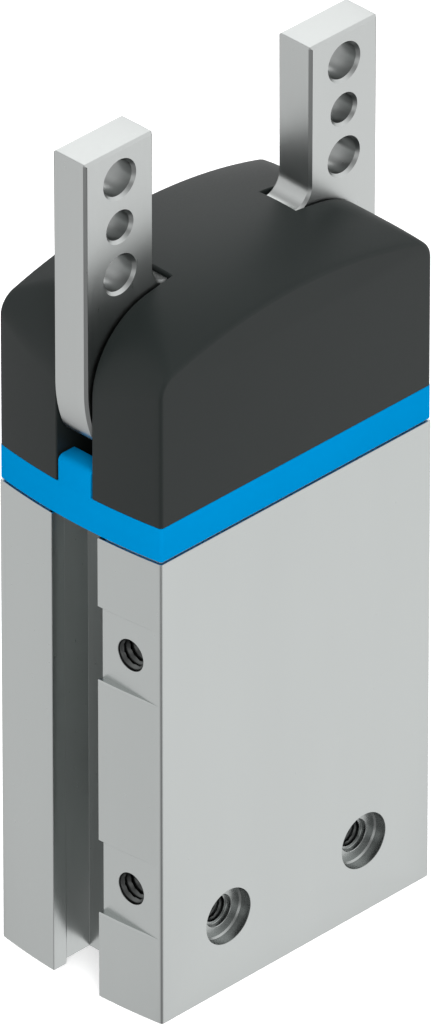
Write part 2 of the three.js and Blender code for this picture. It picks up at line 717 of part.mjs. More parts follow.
const pistonGroup = new THREE.Group();
gripper.add(pistonGroup);
add('piston', piston(), ANODISED, pistonGroup);
add('piston_seal_lower', pistonSeal(PISTON_GROOVES.lowerSeal), RUBBER, pistonGroup);
add('piston_magnet', grooveRing(PISTON_GROOVES.magnet), MAGNET, pistonGroup);
add('piston_wear_ring', grooveRing(PISTON_GROOVES.wearRing), PTFE, pistonGroup);
add('piston_seal_upper', pistonSeal(PISTON_GROOVES.upperSeal), RUBBER, pistonGroup);
add('piston_rod', pistonRod(), STEEL, pistonGroup);
const clampScrew = { diameter: 4, head: 8, headHeight: 3.4, length: 11 };
const clamp = add('piston_screw', socketScrew(clampScrew), DARK_STEEL, pistonGroup);
clamp.rotation.x = Math.PI;
clamp.position.z = 18.4;
add('crosshead', crosshead(), STEEL, pistonGroup);
for (const [side, sign] of SIDES) {
  const { x, z, halfLength } = DRIVER_PIN;
  const pin = rodAlongY(DRIVER.diameter, sign * x, z, -halfLength, halfLength);
  add(`${side}_driver_pin`, pin, STEEL, pistonGroup);
}

for (const [side, sign] of SIDES) {
  const jaw = new THREE.Group();
  gripper.add(jaw);
  add(`${side}_jaw`, lever(sign), STEEL, jaw);
  add(`${side}_pivot_bush`, pivotBush(sign), BRONZE, jaw);
}

export default gripper;
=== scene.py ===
import math

import bmesh
import bpy
from mathutils import Matrix, Vector
from mathutils.geometry import tessellate_polygon


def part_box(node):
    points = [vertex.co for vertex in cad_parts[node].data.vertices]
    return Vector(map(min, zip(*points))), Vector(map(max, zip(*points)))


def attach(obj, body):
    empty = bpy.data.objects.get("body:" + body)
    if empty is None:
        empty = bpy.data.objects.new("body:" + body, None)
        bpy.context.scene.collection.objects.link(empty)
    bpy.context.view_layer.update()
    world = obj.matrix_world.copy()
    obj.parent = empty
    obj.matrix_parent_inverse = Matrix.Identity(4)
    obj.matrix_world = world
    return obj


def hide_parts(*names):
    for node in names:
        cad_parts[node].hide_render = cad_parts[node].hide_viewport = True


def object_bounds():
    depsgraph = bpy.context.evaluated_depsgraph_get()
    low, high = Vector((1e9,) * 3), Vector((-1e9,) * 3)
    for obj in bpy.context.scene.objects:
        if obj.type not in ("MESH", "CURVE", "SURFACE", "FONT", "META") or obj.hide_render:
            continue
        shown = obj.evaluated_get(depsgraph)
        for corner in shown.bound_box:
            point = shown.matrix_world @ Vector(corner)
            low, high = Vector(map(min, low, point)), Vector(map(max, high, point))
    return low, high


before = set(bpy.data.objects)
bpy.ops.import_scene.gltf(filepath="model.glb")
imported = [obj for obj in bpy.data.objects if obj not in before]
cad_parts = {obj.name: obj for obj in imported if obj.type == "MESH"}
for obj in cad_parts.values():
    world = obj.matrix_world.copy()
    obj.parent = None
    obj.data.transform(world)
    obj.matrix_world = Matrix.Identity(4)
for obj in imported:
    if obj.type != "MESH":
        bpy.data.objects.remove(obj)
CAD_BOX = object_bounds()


# ---------------------------------------------------------------- sizes, in millimetres

MM = 0.001


def high_corner(node):
    """The right, rear, top corner of a CAD node's box."""
    _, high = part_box(node)
    return Vector(high) / MM


HOUSING_HIGH = high_corner("housing")
TRIM_HIGH = high_corner("trim_frame")
JAW_HIGH = high_corner("right_jaw")

BULGE = 1.25  # how far the side faces bow out past the corners
HALF_DEPTH = HOUSING_HIGH.y
HALF_WIDTH = HOUSING_HIGH.x - BULGE
HEIGHT = HOUSING_HIGH.z
CORNER = 0.5  # radius of the four upright corners
TRIM_INSET = 0.1  # how far the trim frame stands back from the housing
TRIM_TOP = 83.3
RIB_TOP = TRIM_HIGH.z
COVER_BASE = 83.4
JAW_SLOT = 3.525  # half width of the jaw slots
PIVOT = Vector((7.2, 0, 100.8))  # the right lever's pivot
HEEL = 21.75  # from the pivot to the jaw's outer face

TURN = 2 * math.pi
TINY = 1e-6
FINE = 96  # points around a turned piece
SHARP = 32  # edges with a larger angle, in degrees, stay sharp


# ---------------------------------------------------------------- outlines

def arc(cx, cy, radius, start, end, steps):
    """Points of an arc, from one angle in degrees to another."""
    angles = [math.radians(start + (end - start) * i / steps) for i in range(steps + 1)]
    return [(cx + radius * math.cos(a), cy + radius * math.sin(a)) for a in angles]


def circle(cx, cy, radius, steps=FINE):
    return arc(cx, cy, radius, 0, 360, steps)[:-1]


def filleted(corners, steps=4):
    """A closed outline from (x, y, radius) corners, each rounded by its radius."""
    points = []
    count = len(corners)
    for i, (x, y, radius) in enumerate(corners):
        here = Vector((x, y))
        if radius == 0:
            points.append((x, y))
            continue
        before = (Vector(corners[i - 1][:2]) - here).normalized()
        after = (Vector(corners[(i + 1) % count][:2]) - here).normalized()
        half = before.angle(after) / 2
        centre = here + (before + after).normalized() * radius / math.sin(half)
        reach = radius / math.tan(half)
        first, last = here + before * reach - centre, here + after * reach - centre
        sweep = first.angle_signed(last)
        start = math.atan2(first.y, first.x)
        for k in range(steps + 1):
            angle = start - sweep * k / steps
            x, y = radius * math.cos(angle), radius * math.sin(angle)
            points.append((centre.x + x, centre.y + y))
    return points


def shrunk(points, amount):
    """The outline moved to its left by an amount: inward when it turns anticlockwise."""
    sharpest = 0.2  # keeps very sharp corners from running far out
    moved = []
    count = len(points)
    for i, (x, y) in enumerate(points):
        last, following = points[i - 1], points[(i + 1) % count]
        before = Vector((x - last[0], y - last[1])).normalized()
        after = Vector((following[0] - x, following[1] - y)).normalized()
        n1, n2 = Vector((-before.y, before.x)), Vector((-after.y, after.x))
        shift = (n1 + n2) / max(1 + n1.dot(n2), sharpest) * amount
        moved.append((x + shift.x, y + shift.y))
    return moved


def bow(y, inset=0.0):
    """Half width of the bowed outline at a depth y."""
    half = HALF_DEPTH - inset
    radius = (half * half + BULGE * BULGE) / (2 * BULGE)
    return HALF_WIDTH - inset + BULGE - radius + math.sqrt(radius * radius - y * y)


# ---------------------------------------------------------------- meshes

def new_object(name, mesh, material):
    piece = bpy.data.objects.new(name, mesh)
    bpy.context.scene.collection.objects.link(piece)
    mesh.materials.append(material)
    return piece


def smooth(mesh, degrees=SHARP):
    for polygon in mesh.polygons:
        polygon.use_smooth = True
    mesh.set_sharp_from_angle(angle=math.radians(degrees))


def finish_mesh(bm, name, material, place=None, degrees=SHARP):
    """Makes an object in metres from a bmesh in millimetres."""
    if place is not None:
        bmesh.ops.transform(bm, matrix=place, verts=bm.verts)
    bmesh.ops.scale(bm, vec=(MM, MM, MM), verts=bm.verts)
    bmesh.ops.recalc_face_normals(bm, faces=bm.faces)
    mesh = bpy.data.meshes.new(name)
    bm.to_mesh(mesh)
    bm.free()
    smooth(mesh, degrees)
    return new_object(name, mesh, material)


def rounded(z0, z1, lower, upper, steps=3):
    """Side profile of a prism as (z, inset) points, with both of its edges rounded."""
    profile = []
    for k in range(steps + 1):
        angle = math.pi / 2 * k / steps
        profile.append((z0 + lower * (1 - math.cos(angle)), lower * (1 - math.sin(angle))))
    for k in range(steps, -1, -1):
        angle = math.pi / 2 * k / steps
        profile.append((z1 - upper * (1 - math.cos(angle)), upper * (1 - math.sin(angle))))
    return profile


def extruded(name, material, loops, place=None):
    """A prism from (outline, side profile, wall finish) loops: the outside, then any holes."""
    bm = bmesh.new()
    bottoms, tops = [], []
    for points, profile, finish in loops:
        rings = []
        for z, inset in profile:
            rings.append([bm.verts.new((x, y, z)) for x, y in shrunk(points, inset)])
        for step, (lower, upper) in enumerate(zip(rings, rings[1:])):
            wall = 0 < step < len(rings) - 2
            for i in range(len(points)):
                j = (i + 1) % len(points)
                face = bm.faces.new((lower[i], lower[j], upper[j], upper[i]))
                face.material_index = finish if wall else 0
        bottoms.append(rings[0])
        tops.append(rings[-1])
    for rings in (bottoms, tops):
        verts = [v for ring in rings for v in ring]
        for triangle in tessellate_polygon([[v.co for v in ring] for ring in rings]):
            bm.faces.new([verts[i] for i in triangle])
    return finish_mesh(bm, name, material, place)


def turned(name, material, profile, place=None):
    """A closed ring or solid turned about Z from a closed list of (radius, z) points."""
    bm = bmesh.new()
    rings = []
    for radius, z in profile:
        if radius < TINY:
            rings.append([bm.verts.new((0, 0, z))])
            continue
        rings.append([bm.verts.new((x, y, z)) for x, y in circle(0, 0, radius)])
    for first, second in zip(rings, rings[1:] + rings[:1]):
        if len(first) == 1 and len(second) == 1:
            continue
        for i in range(FINE):
            j = (i + 1) % FINE
            if len(first) == 1:
                bm.faces.new((first[0], second[j], second[i]))
            elif len(second) == 1:
                bm.faces.new((first[i], first[j], second[0]))
            else:
                bm.faces.new((first[i], first[j], second[j], second[i]))
    return finish_mesh(bm, name, material, place)


def threaded(name, material, inner, outer, pitch, length, wall, place):
    """A nut-like sleeve with a helical thread inside, from z = 0 down to -length."""
    per_turn, per_pitch = 72, 12
    bm = bmesh.new()
    rows = round(length / pitch * per_pitch)
    lead_in = 0.5 * pitch
    rings = []
    for row in range(rows + 1):
        z = -length * row / rows
        ring = []
        for i in range(per_turn):
            groove = abs(math.sin(math.pi * (z / pitch + i / per_turn)))
            ridge = (outer - inner) * (1 - groove) * min(1, -z / lead_in)
            radius = outer - ridge
            angle = TURN * i / per_turn
            ring.append(bm.verts.new((radius * math.cos(angle), radius * math.sin(angle), z)))
        rings.append(ring)
    for z in (-length, 0):
        rings.append([bm.verts.new((x, y, z)) for x, y in circle(0, 0, wall, per_turn)])
    for first, second in zip(rings, rings[1:] + rings[:1]):
        for i in range(per_turn):
            j = (i + 1) % per_turn
            bm.faces.new((first[i], first[j], second[j], second[i]))
    return finish_mesh(bm, name, material, place, degrees=40)


def cut(piece, cutters):
    """Takes the cutters away from the piece. Each cut face keeps its cutter's finish."""
    for cutter in cutters:
        modifier = piece.modifiers.new("cut", "BOOLEAN")
        modifier.operation = "DIFFERENCE"
        modifier.solver = "EXACT"
        modifier.object = cutter
        modifier.material_mode = "TRANSFER"
    bpy.context.view_layer.update()
    evaluated = piece.evaluated_get(bpy.context.evaluated_depsgraph_get())
    mesh = bpy.data.meshes.new_from_object(evaluated)
    piece.modifiers.clear()
    piece.data = mesh
    smooth(mesh)
    for cutter in cutters:
        bpy.data.objects.remove(cutter)


def toward(direction, at):
    """Places a turned piece so that its +Z points along a direction from a point."""
    turn = Vector(direction).to_track_quat("Z", "Y").to_matrix().to_4x4()
    return Matrix.Translation(at) @ turn


def upright(side):
    """Turns an outline drawn in X and Z into the plane between the front and the back."""
    return Matrix(((side, 0, 0, 0), (0, 0, 1, 0), (0, 1, 0, 0), (0, 0, 0, 1)))


def settle(piece, body, slot, *nodes):
    """Puts a piece on its body and in place of its CAD nodes. The slot is not used."""
    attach(piece, body)
    if nodes:
        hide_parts(*nodes)


# ---------------------------------------------------------------- materials

def material_nodes(name):
    material = bpy.data.materials.new(name)
    material.use_nodes = True
    tree = material.node_tree
    return material, tree, tree.nodes["Principled BSDF"]


def noise(tree, scale, detail, stretch):
    coordinates = tree.nodes.new("ShaderNodeTexCoord")
    mapping = tree.nodes.new("ShaderNodeMapping")
    mapping.inputs["Scale"].default_value = stretch
    texture = tree.nodes.new("ShaderNodeTexNoise")
    texture.inputs["Scale"].default_value = scale
    texture.inputs["Detail"].default_value = detail
    texture.inputs["Roughness"].default_value = 0.55
    tree.links.new(coordinates.outputs["Object"], mapping.inputs["Vector"])
    tree.links.new(mapping.outputs["Vector"], texture.inputs["Vector"])
    return texture.outputs["Fac"]


def ramp(tree, source, stops):
    """Colour from a value, between two (position, colour) stops."""
    node = tree.nodes.new("ShaderNodeValToRGB")
    for element, (position, color) in zip(node.color_ramp.elements, stops):
        element.position, element.color = position, (*color, 1)
    tree.links.new(source, node.inputs["Fac"])
    return node.outputs["Color"]


def span(tree, source, low, high):
    """Stretches a value from 0..1 to low..high."""
    node = tree.nodes.new("ShaderNodeMapRange")
    node.inputs["To Min"].default_value = low
    node.inputs["To Max"].default_value = high
    tree.links.new(source, node.inputs["Value"])
    return node.outputs["Result"]


def bump(tree, shader, source, strength, distance_mm):
    node = tree.nodes.new("ShaderNodeBump")
    node.inputs["Strength"].default_value = strength
    node.inputs["Distance"].default_value = distance_mm * MM
    tree.links.new(source, node.inputs["Height"])
    tree.links.new(node.outputs["Normal"], shader.inputs["Normal"])


def shade(color, amount):
    """The colour made lighter or darker by a factor."""
    return tuple(min(1.0, max(0.0, c * amount)) for c in color)


def grained(name, color, metallic, roughness, grain, depth, variation,
            stretch=(1, 1, 1), specular=0.5):
    """A finish with a fine surface grain, slight tone changes and uneven gloss."""
    blotches, gloss_spread = 60, 0.06
    material, tree, shader = material_nodes(name)
    shader.inputs["Metallic"].default_value = metallic
    shader.inputs["Specular IOR Level"].default_value = specular
    broad = noise(tree, blotches, 3.0, stretch)
    fine = noise(tree, grain, 5.0, stretch)
    tones = [(0.3, shade(color, 1 - variation)), (0.7, shade(color, 1 + variation))]
    gloss = span(tree, fine, roughness - gloss_spread, roughness + gloss_spread)
    tree.links.new(ramp(tree, broad, tones), shader.inputs["Base Color"])
    tree.links.new(gloss, shader.inputs["Roughness"])
    bump(tree, shader, fine, strength=0.35, distance_mm=depth)
    return material


ALUMINIUM = grained("anodised_aluminium", (0.53, 0.553, 0.546), 1.0, 0.3, 2600,
                    stretch=(1, 1, 0.25), depth=0.008, variation=0.012)
# A darker aluminium for the walls of the mounting and foot holes: painted shade inside the holes.
RECESS = grained("recess_painted_shade", (0.43, 0.449, 0.443), 1.0, 0.27, 2200,
                 depth=0.012, variation=0.04)
BARE_ALUMINIUM = grained("machined_aluminium", (0.53, 0.55, 0.545), 1.0, 0.24, 2200,
                         depth=0.008, variation=0.03)
JAW_STEEL = grained("nickel_plated_steel", (0.535, 0.553, 0.547), 1.0, 0.3, 1800,
                    stretch=(1, 1, 0.12), depth=0.004, variation=0.015)
# A darker steel for the walls of the jaws' holes: painted shade inside the holes.
JAW_BORE = grained("jaw_bore_painted_shade", (0.36, 0.373, 0.369), 1.0, 0.3, 2200,
                   depth=0.003, variation=0.03)
STEEL = grained("ground_steel", (0.5, 0.51, 0.52), 1.0, 0.28, 2400,
                stretch=(1, 1, 0.3), depth=0.006, variation=0.05)
# Far darker than the aluminium around it: painted shade, so the threaded holes look dark inside.
THREAD = grained("thread_painted_shade", (0.13, 0.136, 0.134), 1.0, 0.3, 2200,
                 depth=0.008, variation=0.03)
DARK_STEEL = grained("black_oxide_steel", (0.05, 0.052, 0.055), 0.8, 0.38, 2200,
                     depth=0.01, variation=0.12)
BRONZE = grained("bearing_bronze", (0.42, 0.27, 0.12), 1.0, 0.34, 2200,
                 depth=0.01, variation=0.08)
BLUE = grained("blue_plastic", (0.0, 0.176, 0.41), 0.0, 0.5, 3000,
               depth=0.01, variation=0.015, specular=0.0)
BLACK = grained("black_plastic", (0.0105, 0.0135, 0.013), 0.0, 0.45, 3200,
                depth=0.015, variation=0.03, specular=0.23)
RUBBER = grained("seal_rubber", (0.012, 0.012, 0.012), 0.0, 0.7, 2600,
                 depth=0.02, variation=0.15)
MAGNET = grained("bonded_magnet", (0.06, 0.055, 0.05), 0.1, 0.62, 3000,
                 depth=0.03, variation=0.12)
TAPE = grained("guide_tape", (0.16, 0.07, 0.035), 0.0, 0.5, 2400,
               depth=0.02, variation=0.1)


# ---------------------------------------------------------------- housing

BOW_STEPS = 14
SLOT_MOUTH = 4.55  # half width of the sensor slot's mouth
SLOT_CHANNEL = 5.5  # half width of the channel behind it
SLOT_LIP = 25.7
SLOT_SLANT = 1.0
SLOT_BACK = 20.1
LIP_ROUND = 0.12
CHANNEL_ROUND = 0.06
PORT_Z = (20.4, 59.8)
PORT_Y = -10.1
PORT_HOLE = (2.5, 9, 0.06)  # radius, depth and broken edge
PAD_X = 27.15
PAD_HALF = 6.1
PAD_EDGE = 0.18
MOUNT_X = 13.7
MOUNT_Z = 12.2
FOOT_HOLE = (20.6, 11.2)
FOOT_DRILL = (1.7, 8, 0.3)  # radius, depth and broken edge
FOOT_EDGE = 0.08  # rounding of the housing's lower edge
TOP_EDGE = 0.22
GAP_BELOW = 0.12  # the fine dark line between the body and the blue trim
GAP_ABOVE = 0.26
GAP_DEPTH = 0.6

# Profiles of (radius, z) points: a mounting hole down from the housing's face, with its centring
# recess, and the bore up from the housing's foot, with the ring groove and the rod seal's seat.
MOUNT_PROFILE = (
    (0, 1), (5.47, 1), (4.47, 0), (4.42, -0.05), (4.4, -1.8), (4.15, -2.05), (2.62, -2.05),
    (2.55, -2.12), (2.55, -2.85), (2.5, -2.9), (2.12, -2.95), (2.1, -9), (0, -10.4),
)
BORE_PROFILE = (
    (0, -1), (14.2, -1), (12.8, 0), (12.5, 0.3), (12.5, 1.6), (13.5, 1.6), (13.5, 3.0),
    (12.5, 3.0), (12.5, 62.5), (5.4, 62.5), (5.4, 64), (7.15, 64), (7.15, 70.9), (0, 70.9),
)
WELL_HALF = (13.8, 6.9)  # the crosshead's well in the housing's top
WELL_ROUND = 2
WELL_FLOOR = 70.8

# Threads: radius at the crest and at the root, pitch, length and the sleeve's outer radius.
PORT_THREAD = (2.0, 2.5, 1.25, 7, 2.7)
MOUNT_THREAD = (1.85, 2.12, 0.8, 6, 2.3)
FOOT_THREAD = (1.4, 1.7, 0.7, 7, 1.9)
PORT_THREAD_START = 0.1  # how deep each thread begins
MOUNT_THREAD_START = 3.0
FOOT_THREAD_START = 0.3


def rectangle(half_x, half_y, radius, steps=4):
    corners = [(-half_x, -half_y), (half_x, -half_y), (half_x, half_y), (-half_x, half_y)]
    return filleted([(x, y, radius) for x, y in corners], steps)


def side_of_housing(side):
    """Corners of one side face, listed from the front to the back on the right."""
    half = HALF_DEPTH
    slant = SLOT_LIP - SLOT_SLANT
    bowed = [half * (k / BOW_STEPS) for k in range(BOW_STEPS - 1, 0, -1)]
    bowed = [y for y in bowed if y > SLOT_MOUTH + 0.3]
    slot = [
        (bow(SLOT_MOUTH), SLOT_MOUTH, LIP_ROUND), (SLOT_LIP, SLOT_MOUTH, LIP_ROUND),
        (slant, SLOT_CHANNEL, LIP_ROUND), (SLOT_BACK, SLOT_CHANNEL, CHANNEL_ROUND),
    ]
    rows = [(bow(half), half, CORNER)]
    rows += [(bow(y), y, 0) for y in bowed]
    rows += slot
    rows = [(x, -y, radius) for x, y, radius in rows] + rows[::-1]
    if side > 0:
        return rows
    return [(-x, -y, radius) for x, y, radius in rows]


def hole_cutter(radius, depth, mouth):
    """Profile of a drilled hole from z = 0 down, with a broken edge at its mouth."""
    tip = -depth - radius * 0.55
    rim = radius + mouth
    return [(0, 1), (rim + 1, 1), (rim, 0), (radius, -mouth), (radius, -depth), (0, tip)]


def pad_cutter(z):
    """The step milled flat around a port, with broken edges where it leaves the bowed face."""
    start, length, steps = -HALF_DEPTH - 0.5, HALF_DEPTH + 1.5 - SLOT_MOUTH, 24
    thinnest = 0.04
    bm = bmesh.new()
    rings = []
    for k in range(steps + 1):
        y = start + length * k / steps
        surface = max(bow(min(abs(y), HALF_DEPTH)), PAD_X + thinnest)
        broken = min(PAD_EDGE, 0.5 * (surface - PAD_X))
        near, far = surface - broken, surface + 1
        high = PAD_HALF + broken + 1
        section = [(PAD_X, -PAD_HALF), (PAD_X, PAD_HALF), (near, PAD_HALF)]
        section += [(far, high), (far, -high), (near, -PAD_HALF)]
        rings.append([bm.verts.new((-x, y, z + rise)) for x, rise in section])
    for first, second in zip(rings, rings[1:]):
        for i in range(len(first)):
            j = (i + 1) % len(first)
            bm.faces.new((first[i], first[j], second[j], second[i]))
    bm.faces.new(rings[0])
    bm.faces.new(rings[-1])
    return finish_mesh(bm, "pad", ALUMINIUM)


def build_housing():
    outline = filleted(side_of_housing(1) + side_of_housing(-1))
    top = HEIGHT - GAP_BELOW
    profile = rounded(0, top, FOOT_EDGE, TOP_EDGE) + [(top, GAP_DEPTH), (HEIGHT, GAP_DEPTH)]
    body = extruded("housing_body", ALUMINIUM, [(outline, profile, 0)])
    cutters = []
    for z in PORT_Z:
        cutters.append(pad_cutter(z))
        place = toward((-1, 0, 0), (-PAD_X, PORT_Y, z))
        cutters.append(turned("port", ALUMINIUM, hole_cutter(*PORT_HOLE), place))
    for face in (-1, 1):
        for side in (-1, 1):
            # The mounting and foot holes' walls take RECESS, a darker aluminium that is painted
            # shade.
            place = toward((0, face, 0), (side * MOUNT_X, face * HALF_DEPTH, MOUNT_Z))
            cutters.append(turned("mount", RECESS, MOUNT_PROFILE, place))
            place = toward((0, 0, -1), (side * FOOT_HOLE[0], face * FOOT_HOLE[1], 0))
            cutters.append(turned("foot", RECESS, hole_cutter(*FOOT_DRILL), place))
    cutters.append(turned("bore", ALUMINIUM, BORE_PROFILE))
    well = rectangle(*WELL_HALF, WELL_ROUND, 6)
    well_profile = rounded(WELL_FLOOR, HEIGHT + 2, 0.05, 0.05)
    cutters.append(extruded("well", ALUMINIUM, [(well, well_profile, 0)]))
    cut(body, cutters)
    settle(body, "root_body", "anodised_aluminium", "housing")


def build_threads():
    # The thread sleeves take THREAD, whose dark colour is painted shade.
    for z, port in zip(PORT_Z, ("lower", "upper")):
        place = toward((-1, 0, 0), (PORT_THREAD_START - PAD_X, PORT_Y, z))
        sleeve = threaded(f"{port}_port_thread", THREAD, *PORT_THREAD, place)
        settle(sleeve, "root_body", "anodised_aluminium")
    for face, face_name in ((-1, "front"), (1, "rear")):
        for side, side_name in ((-1, "left"), (1, "right")):
            name = f"{face_name}_{side_name}"
            at = (side * MOUNT_X, face * (HALF_DEPTH - MOUNT_THREAD_START), MOUNT_Z)
            place = toward((0, face, 0), at)
            sleeve = threaded(f"{name}_mount_thread", THREAD, *MOUNT_THREAD, place)
            settle(sleeve, "root_body", "anodised_aluminium")
            at = (side * FOOT_HOLE[0], face * FOOT_HOLE[1], FOOT_THREAD_START)
            place = toward((0, 0, -1), at)
            sleeve = threaded(f"{name}_foot_thread", THREAD, *FOOT_THREAD, place)
            settle(sleeve, "root_body", "anodised_aluminium")


# ---------------------------------------------------------------- trim frame

TRIM_OPENING = (20.35, 13.1)  # half width and half depth
OPENING_ROUND = 1
RIB_GAP = 0.35  # between a rib and the jaw's heel
RIB_SIDE_GAP = 0.3  # between a rib and the slot's walls
RIB_BACK = 0.03  # how far a rib stands back from the frame's outline
RIB_ROOT = 0.4  # how far a rib reaches down into the plate
RIB_CORNER = 0.9
RIB_EDGE = 0.15


def bowed_outline(inset):
    """The outline of the frame, straight at the front and the back, bowed at the sides."""
    half = HALF_DEPTH - inset
    right = [(bow(half, inset), -half, CORNER)]
    depths = [half * (2 * k / BOW_STEPS - 1) for k in range(1, BOW_STEPS)]
    right += [(bow(y, inset), y, 0) for y in depths]
    right.append((bow(half, inset), half, CORNER))
    left = [(-x, -y, radius) for x, y, radius in right]
    return filleted(right + left)


def build_trim():
    seat, foot = HEIGHT + 0.01, HEIGHT + GAP_ABOVE
    outside = [(seat, GAP_DEPTH), (foot, GAP_DEPTH)] + rounded(foot, TRIM_TOP, 0.12, 0.05)
    inside = rounded(seat, TRIM_TOP, 0.18, 0.05)
    opening = rectangle(*TRIM_OPENING, OPENING_ROUND)[::-1]
    loops = [(bowed_outline(TRIM_INSET), outside, 0), (opening, inside, 0)]
    settle(extruded("trim_plate", BLUE, loops), "root_body", "blue_trim", "trim_frame")
    outer, root = bow(0, TRIM_INSET) - RIB_BACK, TRIM_TOP - RIB_ROOT
    reach = HEEL + RIB_GAP
    start = math.degrees(math.asin((PIVOT.z - root) / reach))
    end = math.degrees(math.asin((PIVOT.z - RIB_TOP) / reach))
    inner = arc(PIVOT.x, PIVOT.z, reach, -start, -end, 10)
    corners = [(outer, root, 0), (outer, RIB_TOP, RIB_CORNER)]
    corners += [(x, z, 0) for x, z in reversed(inner)]
    half = JAW_SLOT - RIB_SIDE_GAP
    loop = (filleted(corners), rounded(-half, half, RIB_EDGE, RIB_EDGE), 0)
    for side, name in ((-1, "left"), (1, "right")):
        rib = extruded(f"{name}_trim_rib", BLUE, [loop], upright(side))
        settle(rib, "root_body", "blue_trim")


# ---------------------------------------------------------------- cover

# A GAIN or the CROWN is what a size gains from the front and back edges to halfway between them.
EDGE_TOP = 111.5  # height of the dome along its front and back edges
CROWN = 2.6
TOP_ARC = 85.0
TOP_ARC_GAIN = 15.0
SHOULDER = 3.4
SHOULDER_GAIN = 10.0
STRAIGHT = 5  # height of the side wall's lowest row of faces
SLOT_END = 12.3
COVER_EDGE = 0.55
COVER_BEVEL = 0.18


def cover_section(y, inset=0.0):
    """Half the outline at depth y, from foot to crest, and the index of the slot's end in it."""
    half = HALF_DEPTH - TRIM_INSET
    swell = max(0.0, 1 - (y / half) ** 2)
    side = bow(min(abs(y), half), TRIM_INSET) - inset
    corner = SHOULDER + SHOULDER_GAIN * swell - inset
    top = EDGE_TOP + CROWN * swell - inset
    big = TOP_ARC + TOP_ARC_GAIN * swell - inset
    cx = side - corner
    cz = top - big + math.sqrt((big - corner) ** 2 - cx ** 2)
    lean = math.asin(cx / (big - corner))
    wall = COVER_BASE + STRAIGHT
    points = [(side, COVER_BASE), (side, wall), (side, (wall + cz) / 2)]
    shoulder, flank, crest = 16, 6, 10
    for k in range(shoulder + 1):
        angle = (math.pi / 2 - lean) * k / shoulder
        points.append((cx + corner * math.cos(angle), cz + corner * math.sin(angle)))
    join = points[-1][0]
    across = [join + (SLOT_END - join) * k / flank for k in range(1, flank + 1)]
    slot_index = len(points) + flank - 1
    across += [SLOT_END * (1 - k / crest) for k in range(1, crest + 1)]
    points += [(x, top - big + math.sqrt(big * big - x * x)) for x in across]
    return points, slot_index


def cover_stations():
    """Depths of the cover's sections with their insets, which round the front and back edges."""
    half = HALF_DEPTH - TRIM_INSET
    slot_steps, outer_steps, edge_steps = 4, 16, 6
    flat = half - COVER_EDGE - JAW_SLOT
    right = [(JAW_SLOT * k / slot_steps, 0.0) for k in range(slot_steps + 1)]
    right += [(JAW_SLOT + flat * k / outer_steps, 0.0) for k in range(1, outer_steps + 1)]
    for k in range(1, edge_steps + 1):
        angle = math.pi / 2 * k / edge_steps
        y = half - COVER_EDGE * (1 - math.sin(angle))
        right.append((y, COVER_EDGE * (1 - math.cos(angle))))
    return [(-y, inset) for y, inset in reversed(right[1:])] + right


def build_cover():
    bm = bmesh.new()
    rows = []
    for y, inset in cover_stations():
        half_section, slot_index = cover_section(y, inset)
        whole = half_section + [(-x, z) for x, z in reversed(half_section[:-1])]
        rows.append((y, [bm.verts.new((x, y, z)) for x, z in whole]))
    count = len(rows[0][1])
    for (y0, first), (y1, second) in zip(rows, rows[1:]):
        middle = abs(y0 + y1) / 2 < JAW_SLOT
        for i in range(count - 1):
            cut_away = middle and (i < slot_index or i >= count - 1 - slot_index)
            if not cut_away:
                bm.faces.new((first[i], first[i + 1], second[i + 1], second[i]))
    for y, row in (rows[0], rows[-1]):
        bm.faces.new(row if y > 0 else row[::-1])
    ends = []  # for each slot, the lower corners of its end wall
    for index in (slot_index, count - 1 - slot_index):
        low = []
        for y, row in rows:
            if abs(y) <= JAW_SLOT + TINY:
                vert = row[index]
                low.append((vert, bm.verts.new((vert.co.x, vert.co.y, COVER_BASE))))
        for (a, b), (c, d) in zip(low, low[1:]):
            bm.faces.new((a, c, d, b))
        ends.append((low[0][1], low[-1][1]))
    walls = [row for y, row in rows if abs(abs(y) - JAW_SLOT) < TINY]
    for which, row in enumerate(walls):
        bm.faces.new(row[:slot_index + 1] + [ends[0][which]])
        bm.faces.new([ends[1][which]] + row[count - 1 - slot_index:])
    bmesh.ops.recalc_face_normals(bm, faces=bm.faces)
    weights = bm.edges.layers.float.new("bevel_weight_edge")
    beveled = math.radians(40)
    for edge in bm.edges:
        if len(edge.link_faces) == 2 and edge.calc_face_angle() > beveled:
            edge[weights] = 1.0
    piece = finish_mesh(bm, "cover_shell", BLACK)
    bevel = piece.modifiers.new("soft edges", "BEVEL")
    bevel.limit_method = "WEIGHT"
    bevel.width = COVER_BEVEL * MM
    bevel.segments = 2
    bevel.use_clamp_overlap = True
    settle(piece, "root_body", "black_cover", "cover")


# ---------------------------------------------------------------- jaws

JAW_HOLES = ((133.1, 2.78), (125.35, 2.22), (117.6, 2.78))  # height and radius
JAW_HOLE_X = 22.2
JAW_HALF = 3.25  # half the jaw's thickness
JAW_INNER = 15.5
JAW_CORNER = 0.3
JAW_EDGE = 0.42
HOLE_EDGE = 0.46
HOLE_STEPS = 64
PIVOT_HOLE = 3.8
LEDGE_FILLET = 3.0  # where the jaw rises from the ledge
LEDGE_Z = 112.6
LEDGE_DROP = 3.5
HUB = 6.7  # radius around the pivot
HUB_START = 65  # angles in degrees from here on
HUB_TO_LOBE = 202
LOBE = (9.8, 86.8)
LOBE_ROUND = 3.8
LOBE_TO_HEEL = -61.4
HEEL_TURN = -20  # where the heel rounds off
HEEL_ROUND = 4.0


